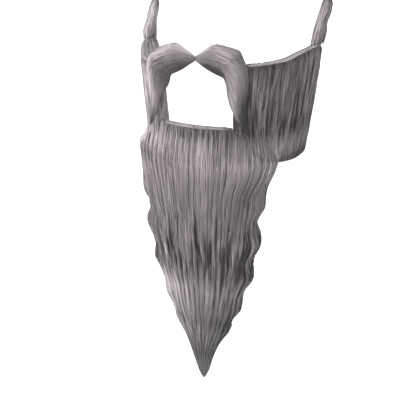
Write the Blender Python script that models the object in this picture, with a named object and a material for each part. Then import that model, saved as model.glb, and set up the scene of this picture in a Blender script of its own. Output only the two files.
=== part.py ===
"""Long grey false beard with moustache, cheek panels and sideburns, held as it sits on a face.

The origin is where the wearer's chin meets the inside of the backing. The face looks along -Y, Z is up and
X runs from the wearer's right to the wearer's left. Sizes are in millimetres until a mesh is made.
"""

import math

import bmesh
import bpy
from mathutils import Vector

MM = 0.001
GAP = 0.35  # clearance between neighbouring pieces
WALL = 5.7  # hair-covered backing, from its inner to its outer face

# The backing's outer face seen from above, as runs of arc and straight from the middle of the chin to the ear.
JAW_RUNS = (
    {"radius": 92.0, "turn": 19.1},
    {"radius": 42.0, "turn": 40.9},
    {"length": 30.0},
    {"radius": 80.0, "turn": 22.3},
    {"length": 25.6},
)

# The mouth opening is a notch in the backing, with the moustache across its top.
MOUTH_RUN = 30.9  # along the jaw from the middle to the notch's side
MOUTH_BOTTOM = 20.1

# The seam between cheek and chin hair runs down and back from the notch's corner.
SEAM_END_RUN = 75.0
SEAM_END_HEIGHT = -16.0

CHEEK_COLOUR = (0.110, 0.102, 0.105)
BEARD_COLOUR = (0.220, 0.207, 0.212)
MOUSTACHE_COLOUR = (0.250, 0.235, 0.242)


def clear_scene():
    for old in list(bpy.data.objects):
        bpy.data.objects.remove(old, do_unlink=True)


def hair_material(name, colour):
    material = bpy.data.materials.new(name)
    material.use_nodes = True
    shader = material.node_tree.nodes["Principled BSDF"]
    shader.inputs["Base Color"].default_value = (*colour, 1.0)
    shader.inputs["Roughness"].default_value = 0.6
    shader.inputs["Metallic"].default_value = 0.0
    return material


def add_solid(name, points, faces, material):
    """One closed mesh from points in millimetres, its faces turned outwards and cut into flat triangles."""
    mesh = bpy.data.meshes.new(name)
    shape = bmesh.new()
    corners = [shape.verts.new(Vector(point) * MM) for point in points]
    for face in faces:
        shape.faces.new([corners[i] for i in face])
    bmesh.ops.recalc_face_normals(shape, faces=shape.faces)
    bmesh.ops.triangulate(shape, faces=shape.faces)
    shape.to_mesh(mesh)
    shape.free()
    mesh.materials.append(material)
    mesh.shade_smooth()
    mesh.set_sharp_from_angle(angle=math.radians(50))
    solid = bpy.data.objects.new(name, mesh)
    bpy.context.scene.collection.objects.link(solid)
    return solid


def between(rows, key, at, column):
    """A column of a short table at any value of its key, eased through the rows so that the form has no corners."""
    rows = sorted(rows, key=lambda row: row[key])
    if at <= rows[0][key]:
        return rows[0][column]
    if at >= rows[-1][key]:
        return rows[-1][column]
    i = next(n for n in range(len(rows) - 1) if at <= rows[n + 1][key])
    low, high = rows[i], rows[i + 1]
    before, after = rows[max(i - 1, 0)], rows[min(i + 2, len(rows) - 1)]
    span = high[key] - low[key]
    t = (at - low[key]) / span

    def slope(a, b):
        return (b[column] - a[column]) / (b[key] - a[key]) * span if b is not a else 0.0

    start, end = slope(before, high), slope(low, after)
    return (
        (2 * t**3 - 3 * t**2 + 1) * low[column]
        + (t**3 - 2 * t**2 + t) * start
        + (3 * t**2 - 2 * t**3) * high[column]
        + (t**3 - t**2) * end
    )


def smooth(low, high, at):
    t = min(1.0, max(0.0, (at - low) / (high - low)))
    return t * t * (3 - 2 * t)


def jaw_at(run):
    """Point of the jaw line and its outward direction, a given run along it from the middle of the chin."""
    side = 1.0 if run >= 0 else -1.0
    left = abs(run)
    x, y, heading = 0.0, -WALL, 0.0
    for part in JAW_RUNS:
        radius = part.get("radius")
        length = radius * math.radians(part["turn"]) if radius else part["length"]
        step = min(left, length)
        if radius:
            turned = heading + step / radius
            x += radius * (math.sin(turned) - math.sin(heading))
            y += radius * (math.cos(heading) - math.cos(turned))
            heading = turned
        else:
            x += step * math.cos(heading)
            y += step * math.sin(heading)
        left -= step
        if left <= 0:
            break
    return Vector((side * x, y)), Vector((side * math.sin(heading), -math.cos(heading)))


def on_jaw(run, height, out):
    """A point out from the backing's outer face, or into the wall where out is negative."""
    place, outward = jaw_at(run)
    return Vector((place.x + outward.x * out, place.y + outward.y * out, height))


def jaw_depth(x):
    """How far back the backing's outer face lies at a distance x from the middle."""
    low, high = 0.0, 120.0
    for _ in range(40):
        middle = (low + high) / 2
        if jaw_at(middle)[0].x < abs(x):
            low = middle
        else:
            high = middle
    return jaw_at(low)[0].y


# Chin beard: the notch's lower wall and the long tapering fall of hair below it, one solid.
# Above COLLAR_END the section is a curved wall round the chin, and below FALL_START it is a flat oval.
COLLAR = (
    {"height": 20.1, "run": 30.9, "swell": 0.0},
    {"height": 11.0, "run": 42.0, "swell": 1.2},
    {"height": 2.0, "run": 53.0, "swell": 4.0},
    {"height": -7.0, "run": 64.0, "swell": 6.2},
    {"height": -16.0, "run": 75.0, "swell": 6.0},
)
FALL = (
    {"height": -36.0, "half_width": 55.5, "middle": 10.0, "half_depth": 21.5},
    {"height": -51.0, "half_width": 57.0, "middle": 10.4, "half_depth": 22.0},
    {"height": -64.0, "half_width": 50.0, "middle": 10.5, "half_depth": 20.0},
    {"height": -89.0, "half_width": 57.6, "middle": 9.8, "half_depth": 21.5},
    {"height": -119.0, "half_width": 51.0, "middle": 10.5, "half_depth": 19.0},
    {"height": -137.0, "half_width": 55.2, "middle": 9.6, "half_depth": 19.5},
    {"height": -161.0, "half_width": 46.4, "middle": 8.6, "half_depth": 16.0},
    {"height": -195.0, "half_width": 44.8, "middle": 9.4, "half_depth": 17.0},
    {"height": -219.0, "half_width": 35.2, "middle": 8.0, "half_depth": 14.0},
    {"height": -236.0, "half_width": 35.0, "middle": 7.2, "half_depth": 13.0},
    {"height": -266.0, "half_width": 23.5, "middle": 6.6, "half_depth": 10.0},
    {"height": -310.0, "half_width": 13.2, "middle": 5.2, "half_depth": 7.0},
    {"height": -350.0, "half_width": 7.4, "middle": 5.4, "half_depth": 4.2},
)
SHOULDER_SWELL = 0.7  # how much more the hair stands out near the shoulders than in the middle
SHOULDER_RUN = 62.0  # from here it draws in again to the seam's end
SHOULDER_DRAW_IN = 0.75
COLLAR_END = -16.0
FALL_START = -36.0
TIP = Vector((0.0, 6.4, -380.4))
OVAL_SHOULDER = math.radians(30)  # how far the front half of the oval reaches round to the back
CORE_HEIGHTS = (20.1, 14, 8, 2, -4, -10, -16, -21, -26, -31, -36, -51, -64, -76, -89, -104, -119,
                -137, -149, -161, -178, -195, -219, -236, -251, -266, -288, -310, -350)
CORE_SIDES = 40


def shoulder(run):
    """How much the hair's swell grows towards the shoulders, before it runs out at the seam's end."""
    grown = 1 + SHOULDER_SWELL * (run / SEAM_END_RUN) ** 2
    return grown * (1 - SHOULDER_DRAW_IN * smooth(SHOULDER_RUN, SEAM_END_RUN, abs(run)))


def collar_point(lane, height):
    """Lane 0 to 1 runs over the front from the wearer's right to left, and 1 to 2 back over the inside."""
    run = between(COLLAR, "height", height, "run")
    swell = between(COLLAR, "height", height, "swell")
    if lane <= 1:
        along = (2 * lane - 1) * run
        return on_jaw(along, height, swell * shoulder(along))
    return on_jaw((3 - 2 * lane) * run, height, -WALL)


def fall_point(lane, height):
    half_width = between(FALL, "height", height, "half_width")
    middle = between(FALL, "height", height, "middle")
    half_depth = between(FALL, "height", height, "half_depth")
    if lane <= 1:
        start, sweep, share = math.pi - OVAL_SHOULDER, math.pi + 2 * OVAL_SHOULDER, lane
    else:
        start, sweep, share = OVAL_SHOULDER, math.pi - 2 * OVAL_SHOULDER, lane - 1
    angle = start + sweep * share
    return Vector((half_width * math.cos(angle), middle + half_depth * math.sin(angle), height))


def beard_point(lane, height):
    """A point of the beard's form before its locks are laid on."""
    lane %= 2.0
    if height >= COLLAR_END:
        return collar_point(lane, height)
    if height <= FALL_START:
        return fall_point(lane, height)
    share = smooth(COLLAR_END, FALL_START, height)
    return collar_point(lane, COLLAR_END).lerp(fall_point(lane, FALL_START), share).to_2d().to_3d() + Vector(
        (0, 0, height)
    )


def beard_outward(lane, height):
    """Level direction out of the form."""
    step = 0.01
    across = beard_point(lane + step, height) - beard_point(lane - step, height)
    return Vector((across.y, -across.x, 0.0)).normalized()


def beard_core(material):
    """The form as rings of points, closed by a strip of faces at the mouth and a fan at the tip."""
    lanes = [2.0 * i / CORE_SIDES for i in range(CORE_SIDES)]
    points = [beard_point(lane, height) for height in CORE_HEIGHTS for lane in lanes]
    points.append(TIP)
    faces = []
    for ring in range(len(CORE_HEIGHTS) - 1):
        for i in range(CORE_SIDES):
            j = (i + 1) % CORE_SIDES
            upper, lower = ring * CORE_SIDES, (ring + 1) * CORE_SIDES
            faces.append((upper + i, upper + j, lower + j, lower + i))
    half = CORE_SIDES // 2
    for i in range(half):
        front, back = i, (CORE_SIDES - i) % CORE_SIDES
        if i == 0:
            faces.append((0, 1, CORE_SIDES - 1))
        elif i == half - 1:
            faces.append((i, half, half + 1))
        else:
            faces.append((front, front + 1, back - 1, back))
    last = (len(CORE_HEIGHTS) - 1) * CORE_SIDES
    for i in range(CORE_SIDES):
        faces.append((last + i, last + (i + 1) % CORE_SIDES, len(points) - 1))
    return add_solid("chin_beard", points, faces, material)


# Locks of the beard: tiers of tapering strips fused to the form, each tier's points over the next one's roots.
LOCK_TIERS = (
    {"count": 11, "lanes": (0.09, 0.91), "root": 4.0, "tip": -160.0, "width": 15.0, "thick": 6.4, "turn": 0.0},
    {"count": 5, "lanes": (1.16, 1.84), "root": -44.0, "tip": -165.0, "width": 15.0, "thick": 6.0, "turn": 1.3},
    {"count": 8, "lanes": (0.08, 0.92), "root": -128.0, "tip": -258.0, "width": 14.0, "thick": 6.0, "turn": 2.1},
    {"count": 4, "lanes": (1.15, 1.85), "root": -128.0, "tip": -250.0, "width": 15.0, "thick": 5.6, "turn": 0.6},
    {"count": 5, "lanes": (0.12, 0.88), "root": -222.0, "tip": -330.0, "width": 11.0, "thick": 5.4, "turn": 3.0},
    {"count": 2, "lanes": (1.30, 1.70), "root": -222.0, "tip": -315.0, "width": 12.0, "thick": 5.0, "turn": 1.9},
)
LOCK_RINGS = 8
LOCK_SIDES = 6
LOCK_STAGGER = 20.0  # how far neighbouring points differ in height
LOCK_WAVE = 0.012  # sideways wave, as a share of the front
LOCK_WAVE_LENGTH = 60.0
LOCK_ROOT_SINK = 2.2  # of a lock's closed root below the form
LOCK_SINK, LOCK_RISE, LOCK_TIP_RISE = 1.6, 2.4, 0.8  # of its middle line, at the root, on the belly and at the tip
LOCK_TIP_OUT = 1.0
STAGGER_PATTERN = (0.0, 0.8, -0.6, 0.45, -1.0, 0.2, -0.3)


def beard_lock(name, tier, index, material):
    """One strip: its root sinks into the form, its belly stands out and its point lies free."""
    first, final = tier["lanes"]
    share = index / (tier["count"] - 1)
    lane = first + (final - first) * share
    stagger = STAGGER_PATTERN[(index * 3 + int(10 * tier["turn"])) % len(STAGGER_PATTERN)]
    tip = tier["tip"] + LOCK_STAGGER * stagger
    points, faces = [], []
    for ring in range(LOCK_RINGS):
        t = ring / LOCK_RINGS
        height = tier["root"] + (tip - tier["root"]) * t
        wave = math.sin(2 * math.pi * height / LOCK_WAVE_LENGTH + tier["turn"] + 0.9 * index)
        here = lane + LOCK_WAVE * wave
        outward = beard_outward(here, height)
        across = Vector((-outward.y, outward.x, 0.0))
        full = math.sin(math.pi * min(1.0, 0.12 + t * 0.9)) ** 0.6
        half_width = tier["width"] / 2 * full
        half_thick = tier["thick"] / 2 * full
        lift = LOCK_RISE * smooth(0.0, 0.3, t) + LOCK_TIP_RISE * smooth(0.6, 1.0, t) - LOCK_SINK
        middle = beard_point(here, height) + outward * lift
        for side in range(LOCK_SIDES):
            angle = 2 * math.pi * side / LOCK_SIDES
            points.append(middle + across * half_width * math.cos(angle) + outward * half_thick * math.sin(angle))
    root_point = beard_point(lane, tier["root"]) - beard_outward(lane, tier["root"]) * LOCK_ROOT_SINK
    tip_point = beard_point(lane, tip) + beard_outward(lane, tip) * LOCK_TIP_OUT
    points += [root_point, tip_point]
    for ring in range(LOCK_RINGS - 1):
        for i in range(LOCK_SIDES):
            j = (i + 1) % LOCK_SIDES
            a, b = ring * LOCK_SIDES, (ring + 1) * LOCK_SIDES
            faces.append((a + i, a + j, b + j, b + i))
    last = (LOCK_RINGS - 1) * LOCK_SIDES
    for i in range(LOCK_SIDES):
        j = (i + 1) % LOCK_SIDES
        faces.append((j, i, len(points) - 2))
        faces.append((last + i, last + j, len(points) - 1))
    return add_solid(name, points, faces, material)


def keep_outer_skin(mesh):
    """Drops the small pockets that the union seals between locks, so that the largest skin is left alone."""
    shape = bmesh.new()
    shape.from_mesh(mesh)
    waiting = set(shape.faces)
    skins = []
    while waiting:
        rim = [waiting.pop()]
        skin = list(rim)
        while rim:
            for edge in rim.pop().edges:
                for face in edge.link_faces:
                    if face in waiting:
                        waiting.remove(face)
                        rim.append(face)
                        skin.append(face)
        skins.append(skin)
    skins.sort(key=len)
    bmesh.ops.delete(shape, geom=[face for skin in skins[:-1] for face in skin], context="FACES")
    shape.to_mesh(mesh)
    shape.free()


def chin_beard(material):
    core = beard_core(material)
    locks = bpy.data.collections.new("beard_locks")
    bpy.context.scene.collection.children.link(locks)
    for number, tier in enumerate(LOCK_TIERS):
        for index in range(tier["count"]):
            lock = beard_lock(f"lock_{number}_{index}", tier, index, material)
            bpy.context.scene.collection.objects.unlink(lock)
            locks.objects.link(lock)
    fuse = core.modifiers.new("fuse_locks", "BOOLEAN")
    fuse.operation = "UNION"
    fuse.operand_type = "COLLECTION"
    fuse.collection = locks
    fused = bpy.data.meshes.new_from_object(core.evaluated_get(bpy.context.evaluated_depsgraph_get()))
    core.modifiers.remove(fuse)
    core.data = fused
    keep_outer_skin(fused)
    for lock in list(locks.objects):
        bpy.data.objects.remove(lock, do_unlink=True)
    bpy.data.collections.remove(locks)
    return core


# Cheek panels: the backing from the notch's side to the ear, with its hair in upright strips.
CHEEK_EDGE = (
    {"run": 30.9, "top": 63.2, "bottom": 20.1},
    {"run": 56.0, "top": 64.0, "bottom": -0.4},
    {"run": 75.0, "top": 64.8, "bottom": -16.0},
    {"run": 92.0, "top": 68.4, "bottom": -19.6},
    {"run": 110.0, "top": 70.8, "bottom": -23.0},
    {"run": 136.0, "top": 70.8, "bottom": -29.2},
    {"run": 142.5, "top": 48.0, "bottom": -30.6},
    {"run": 146.2, "top": 20.0, "bottom": -31.4},
)
CHEEK_SWELL = (
    {"share": 0.0, "out": 0.0},
    {"share": 0.35, "out": 0.4},
    {"share": 0.6, "out": 0.2},
    {"share": 1.0, "out": 1.0},
)
SWELL_START = 46.0  # along the jaw, past the moustache
SWELL_FULL = 62.0
CHEEK_ROWS = 8
STRIP_COUNT = 16
STRIP_DEPTH = 1.5
STRIP_DROP = 1.4  # how far each strip's point hangs below the valleys beside it
STRIP_SWAY = 0.9  # sideways, in waves down the strip that shift from strip to strip
STRIP_WAVES = 1.4
STRIP_WAVE_SHIFT = 0.13
COLUMNS_PER_STRIP = 2


def straight(rows, key, at, column):
    """A column of a short table, straight from row to row, for the seam's and the rim's plain edges."""
    for low, high in zip(rows, rows[1:]):
        if at <= high[key]:
            share = (at - low[key]) / (high[key] - low[key])
            return low[column] + (high[column] - low[column]) * share
    return rows[-1][column]


def cheek_panel(name, side, material):
    """A strip-ribbed sheet outside, a plain sheet inside, joined round their edge."""
    columns = STRIP_COUNT * COLUMNS_PER_STRIP + 1
    first, last = MOUTH_RUN + GAP, CHEEK_EDGE[-1]["run"]
    seam_slope = (MOUTH_BOTTOM - SEAM_END_HEIGHT) / (SEAM_END_RUN - MOUTH_RUN)
    seam_gap = GAP * math.hypot(1.0, seam_slope)
    outer, inner = [], []
    for column in range(columns):
        run = first + (last - first) * column / (columns - 1)
        crest = (column % COLUMNS_PER_STRIP) / (COLUMNS_PER_STRIP - 1)
        top = straight(CHEEK_EDGE, "run", run, "top")
        bottom = straight(CHEEK_EDGE, "run", run, "bottom")
        free = smooth(SEAM_END_RUN, SEAM_END_RUN + 8, run)
        bottom += seam_gap * (1 - free) - STRIP_DROP * crest * free
        for row in range(CHEEK_ROWS + 1):
            share = row / CHEEK_ROWS
            height = top + (bottom - top) * share
            wave = STRIP_SWAY * math.sin(2 * math.pi * share * STRIP_WAVES + run * STRIP_WAVE_SHIFT)
            edge = smooth(0.0, 0.08, share)
            swell = between(CHEEK_SWELL, "share", share, "out") * smooth(SWELL_START, SWELL_FULL, run)
            out = (swell + STRIP_DEPTH * (crest - 0.5)) * edge
            inside_edges = edge * (1 - smooth(0.85, 1.0, share)) * (0 < column < columns - 1)
            shifted = min(last, max(first, run + wave * inside_edges))
            outer.append(on_jaw(side * shifted, height, out))
        inner.append((on_jaw(side * run, top, -WALL), on_jaw(side * run, bottom, -WALL)))
    points = outer + [point for pair in inner for point in pair]
    rows = CHEEK_ROWS + 1
    inside = len(outer)
    faces = []
    for column in range(columns - 1):
        here, there = column * rows, (column + 1) * rows
        for row in range(CHEEK_ROWS):
            faces.append((here + row, here + row + 1, there + row + 1, there + row))
        a, b = inside + 2 * column, inside + 2 * (column + 1)
        faces.append((a, b, b + 1, a + 1))
        faces.append((here, there, b, a))
        faces.append((here + CHEEK_ROWS, a + 1, b + 1, there + CHEEK_ROWS))
    end = (columns - 1) * rows
    faces.append([inside, inside + 1] + [row for row in range(CHEEK_ROWS, -1, -1)])
    faces.append([end + row for row in range(rows)] + [inside + 2 * columns - 1, inside + 2 * columns - 2])
    return add_solid(name, points, faces, material)


# Sideburns: slim strips that stand on the cheek panels and lean back to the top of the ear.
# Their inner face is one plane, where wig tape goes.
SIDEBURN = (
    {"height": 71.2, "front": 63.5, "rear": 88.0, "thick": 6.0},
    {"height": 78.0, "front": 67.5, "rear": 88.5, "thick": 6.8},
    {"height": 85.0, "front": 75.5, "rear": 88.5, "thick": 6.0},
    {"height": 92.0, "front": 84.0, "rear": 94.0, "thick": 7.2},
    {"height": 98.0, "front": 89.0, "rear": 98.0, "thick": 6.6},
    {"height": 103.0, "front": 92.5, "rear": 99.5, "thick": 5.0},
)
SIDEBURN_INNER_X = 71.0  # of the inner plane at its lower front corner
SIDEBURN_FLARE = 0.16  # how the plane turns outwards to the rear
SIDEBURN_TILT = -0.07  # and inwards to the top
SIDEBURN_RIBS = 2
SIDEBURN_RIB_DEPTH = 0.9


def sideburn(name, side, material):
    base = SIDEBURN[0]
    steps = 2 * SIDEBURN_RIBS
    points, faces = [], []
    for row in SIDEBURN:
        def inner_x(y):
            return SIDEBURN_INNER_X + SIDEBURN_FLARE * (y - base["front"]) + SIDEBURN_TILT * (
                row["height"] - base["height"]
            )

        for step in range(steps + 1):
            y = row["front"] + (row["rear"] - row["front"]) * step / steps
            rib = -SIDEBURN_RIB_DEPTH if step % 2 == 0 and 0 < step < steps else 0.0
            points.append(Vector((side * (inner_x(y) + row["thick"] + rib), y, row["height"])))
        for y in (row["rear"], row["front"]):
            points.append(Vector((side * inner_x(y), y, row["height"])))
    size = steps + 3
    for ring in range(len(SIDEBURN) - 1):
        for i in range(size):
            j = (i + 1) % size
            a, b = ring * size, (ring + 1) * size
            faces.append((a + i, a + j, b + j, b + i))
    faces.append(list(range(size)))
    faces.append([(len(SIDEBURN) - 1) * size + i for i in range(size)])
    return add_solid(name, points, faces, material)


# Moustache: two tapering horns of hair that meet over the lip, one piece, lying on the front of the cheeks.
MOUSTACHE = (
    {"in_x": 0.0, "in_z": 64.6, "out_x": 0.0, "out_z": 67.9, "front": 3.0, "crest": 0.2},
    {"in_x": 7.6, "in_z": 60.4, "out_x": 7.4, "out_z": 72.0, "front": 7.5, "crest": 0.35},
    {"in_x": 13.8, "in_z": 57.2, "out_x": 14.3, "out_z": 75.2, "front": 10.5, "crest": 0.35},
    {"in_x": 19.0, "in_z": 55.0, "out_x": 22.8, "out_z": 73.6, "front": 12.0, "crest": 0.3},
    {"in_x": 20.6, "in_z": 54.0, "out_x": 31.0, "out_z": 71.0, "front": 11.5, "crest": 0.15},
    {"in_x": 21.9, "in_z": 51.3, "out_x": 36.4, "out_z": 64.4, "front": 9.5, "crest": 0.05},
    {"in_x": 23.4, "in_z": 47.5, "out_x": 38.0, "out_z": 57.0, "front": 8.6, "crest": -0.05},
    {"in_x": 25.3, "in_z": 43.5, "out_x": 38.5, "out_z": 48.6, "front": 7.8, "crest": -0.1},
    {"in_x": 28.5, "in_z": 36.1, "out_x": 38.2, "out_z": 38.5, "front": 6.6, "crest": -0.1},
    {"in_x": 31.2, "in_z": 30.4, "out_x": 37.9, "out_z": 31.6, "front": 5.6, "crest": -0.1},
    {"in_x": 35.0, "in_z": 24.2, "out_x": 39.5, "out_z": 24.9, "front": 4.2, "crest": 0.0},
    {"in_x": 39.4, "in_z": 17.7, "out_x": 41.9, "out_z": 18.7, "front": 2.6, "crest": 0.0},
)
MOUSTACHE_TIP = {"x": 44.3, "z": 10.9}
MOUSTACHE_CLEAR = 1.6  # over the cheek strips that it lies on
MOUSTACHE_BACK = 7.0  # how far it reaches behind the jaw line in the notch and above the cheeks
MOUSTACHE_ROUND = 0.4  # of its back over the cheeks
MOUSTACHE_FRONT_STEPS = 10
MOUSTACHE_BACK_STEPS = 6
MOUSTACHE_GROOVE = 0.10
MOUSTACHE_CROWN = 1.1  # above 1 the front rises gently from its edges to the crest


def moustache_level(x, z):
    """Depth of the moustache's back edge: in front of the cheeks, but behind the jaw line where they leave room."""
    in_notch = 1.0 - smooth(23.0, 27.0, x)
    above_cheek = smooth(68.0, 71.6, z)
    room = max(in_notch, above_cheek)
    return jaw_depth(x) - MOUSTACHE_CLEAR + (MOUSTACHE_CLEAR + MOUSTACHE_BACK) * room


def moustache_section(row):
    """A ring round one horn: a grooved, crowned front and a flatter back that clears the cheek."""
    ring = []
    total = MOUSTACHE_FRONT_STEPS + MOUSTACHE_BACK_STEPS
    for step in range(total):
        if step <= MOUSTACHE_FRONT_STEPS:
            share = step / MOUSTACHE_FRONT_STEPS
        else:
            share = 1 - (step - MOUSTACHE_FRONT_STEPS) / MOUSTACHE_BACK_STEPS
        across = -math.cos(math.pi * share)
        reach = 1 + row["crest"] if across < row["crest"] else 1 - row["crest"]
        crown = max(0.0, 1 - ((across - row["crest"]) / reach) ** 2) ** MOUSTACHE_CROWN
        x = row["in_x"] + (row["out_x"] - row["in_x"]) * (across + 1) / 2
        z = row["in_z"] + (row["out_z"] - row["in_z"]) * (across + 1) / 2
        level = moustache_level(x, z)
        if step <= MOUSTACHE_FRONT_STEPS:
            groove = 1 - MOUSTACHE_GROOVE * (step % 2)
            y = level - row["front"] * crown * groove
        else:
            y = level + MOUSTACHE_ROUND * crown
        ring.append(Vector((x, y, z)))
    return ring


def moustache(material):
    half = [moustache_section(row) for row in MOUSTACHE]
    rings = [[Vector((-p.x, p.y, p.z)) for p in ring] for ring in reversed(half[1:])] + half
    size = len(half[0])
    tip_y = jaw_depth(MOUSTACHE_TIP["x"]) - MOUSTACHE_CLEAR
    points = [point for ring in rings for point in ring]
    points.append(Vector((-MOUSTACHE_TIP["x"], tip_y, MOUSTACHE_TIP["z"])))
    points.append(Vector((MOUSTACHE_TIP["x"], tip_y, MOUSTACHE_TIP["z"])))
    faces = []
    for ring in range(len(rings) - 1):
        for i in range(size):
            j = (i + 1) % size
            a, b = ring * size, (ring + 1) * size
            faces.append((a + i, a + j, b + j, b + i))
    last = (len(rings) - 1) * size
    for i in range(size):
        j = (i + 1) % size
        faces.append((j, i, len(points) - 2))
        faces.append((last + i, last + j, len(points) - 1))
    return add_solid("moustache", points, faces, material)


clear_scene()
beard_hair = hair_material("grey_beard_hair", BEARD_COLOUR)
cheek_hair = hair_material("dark_grey_cheek_hair", CHEEK_COLOUR)
moustache_hair = hair_material("light_grey_moustache_hair", MOUSTACHE_COLOUR)
chin_beard(beard_hair)
cheek_panel("left_cheek", 1.0, cheek_hair)
cheek_panel("right_cheek", -1.0, cheek_hair)
sideburn("left_sideburn", 1.0, cheek_hair)
sideburn("right_sideburn", -1.0, cheek_hair)
moustache(moustache_hair)
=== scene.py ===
import math

import bmesh
import bpy
import numpy as np
from mathutils import Matrix, Vector


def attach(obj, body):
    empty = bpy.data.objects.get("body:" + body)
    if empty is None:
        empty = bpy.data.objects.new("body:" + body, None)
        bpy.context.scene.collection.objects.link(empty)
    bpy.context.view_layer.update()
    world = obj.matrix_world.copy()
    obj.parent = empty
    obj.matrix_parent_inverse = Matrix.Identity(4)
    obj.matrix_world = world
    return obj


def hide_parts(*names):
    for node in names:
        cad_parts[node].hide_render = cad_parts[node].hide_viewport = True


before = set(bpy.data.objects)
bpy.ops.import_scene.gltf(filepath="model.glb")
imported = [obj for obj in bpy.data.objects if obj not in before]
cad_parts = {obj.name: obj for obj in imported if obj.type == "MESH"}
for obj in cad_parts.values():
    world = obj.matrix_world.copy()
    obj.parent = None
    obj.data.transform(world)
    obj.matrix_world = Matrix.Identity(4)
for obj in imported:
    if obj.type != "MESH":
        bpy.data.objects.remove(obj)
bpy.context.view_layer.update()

# Camera at the photograph's angle, in front of the wearer's left and above the beard, with soft light.
# The floor is a plain, nearly white sheet far below the beard's tip, that turns up far away on every side.
VIEW_AZIMUTH = math.radians(19.735)
VIEW_ELEVATION = math.radians(34.597)
VIEW_PLACE = Vector((0.08745, -0.21217, 0.09771))
VIEW_WIDTH = math.radians(70.0)
SENSOR_WIDTH = 36.0
NEAR_CLIP = 0.01
SOFTBOXES = (
    {"name": "key_light", "place": (-1.0, -0.62, 0.62), "target": (0, 0.02, -0.12),
     "size": (0.8, 0.9), "watts": 17.0, "colour": (1.0, 0.99, 0.98)},
    {"name": "fill_light", "place": (1.1, -0.8, 0.2), "target": (0, 0.02, -0.15),
     "size": (1.1, 1.1), "watts": 3.0, "colour": (0.98, 0.99, 1.0)},
    {"name": "top_light", "place": (0.1, 0.35, 1.1), "target": (0, 0.03, 0.0),
     "size": (0.9, 0.9), "watts": 5.0, "colour": (1.0, 1.0, 1.0)},
)
STUDIO_COLOUR = "#FAFAFB"
STUDIO_GLOW = 0.5
FLOOR_COLOUR = "#FAFAFA"
FLOOR_GLOW = 0.46
FLOOR_ROUGHNESS = 0.9
FLOOR_HEIGHT = -0.7
FLOOR_REACH = 8.0


def linear(code):
    """An sRGB hex colour as linear light, which shaders use."""
    parts = [int(code[i : i + 2], 16) / 255 for i in (1, 3, 5)]
    return tuple(p / 12.92 if p <= 0.04045 else ((p + 0.055) / 1.055) ** 2.4 for p in parts) + (1.0,)


def add_node(tree, kind, inputs=None, **settings):
    """A node with its settings, its inputs by name or number, and its links."""
    node = tree.nodes.new(kind)
    for name, value in settings.items():
        setattr(node, name, value)
    for key, value in (inputs or {}).items():
        if isinstance(value, bpy.types.NodeSocket):
            tree.links.new(value, node.inputs[key])
        else:
            node.inputs[key].default_value = value
    return node


def new_object(name, data):
    made = bpy.data.objects.new(name, data)
    bpy.context.scene.collection.objects.link(made)
    return made


def put_camera():
    level = math.cos(VIEW_ELEVATION)
    back = Vector(
        (math.sin(VIEW_AZIMUTH) * level, -math.cos(VIEW_AZIMUTH) * level, math.sin(VIEW_ELEVATION))
    )
    right = Vector((math.cos(VIEW_AZIMUTH), math.sin(VIEW_AZIMUTH), 0.0))
    turned = Matrix((right, back.cross(right), back)).transposed().to_4x4()
    camera = new_object("camera", bpy.data.cameras.new("camera"))
    camera.data.sensor_width = SENSOR_WIDTH
    camera.data.lens = SENSOR_WIDTH / 2 / math.tan(VIEW_WIDTH / 2)
    camera.data.clip_start = NEAR_CLIP
    camera.matrix_world = Matrix.Translation(VIEW_PLACE) @ turned
    bpy.context.scene.camera = camera


def add_softbox(name, place, target, size, watts, colour):
    lamp = new_object(name, bpy.data.lights.new(name, "AREA"))
    lamp.data.shape = "RECTANGLE"
    lamp.data.size, lamp.data.size_y = size
    lamp.data.energy = watts
    lamp.data.color = colour
    lamp.location = place
    lamp.rotation_euler = (Vector(target) - Vector(place)).to_track_quat("-Z", "Y").to_euler()


def put_world():
    world = bpy.data.worlds.new("studio")
    world.use_nodes = True
    background = world.node_tree.nodes["Background"].inputs
    background["Color"].default_value = linear(STUDIO_COLOUR)
    background["Strength"].default_value = STUDIO_GLOW
    bpy.context.scene.world = world


def new_material(name):
    """A material, its node tree and its shader's inputs."""
    material = bpy.data.materials.new(name)
    material.use_nodes = True
    return material, material.node_tree, material.node_tree.nodes["Principled BSDF"].inputs


def studio_paper():
    """White paper with a faint glow of its own, which looks plain and nearly white from every side."""
    material, _, shader = new_material("studio_paper")
    shader["Base Color"].default_value = linear(FLOOR_COLOUR)
    shader["Roughness"].default_value = FLOOR_ROUGHNESS
    shader["Emission Color"].default_value = (1.0, 1.0, 1.0, 1.0)
    shader["Emission Strength"].default_value = FLOOR_GLOW
    return material


def put_floor():
    corners = [(x * FLOOR_REACH, y * FLOOR_REACH) for x, y in ((-1, -1), (1, -1), (1, 1), (-1, 1))]
    points = [(x, y, FLOOR_HEIGHT + rise) for rise in (0.0, FLOOR_REACH) for x, y in corners]
    walls = [((i + 1) % 4, i, i + 4, (i + 1) % 4 + 4) for i in range(4)]
    mesh = bpy.data.meshes.new("floor")
    mesh.from_pydata(points, [], [(0, 1, 2, 3)] + walls)
    mesh.materials.append(studio_paper())
    return new_object("floor", mesh)


put_camera()
for softbox in SOFTBOXES:
    add_softbox(**softbox)
put_world()
bpy.context.scene.view_settings.view_transform = "Standard"
floor = put_floor()

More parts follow.
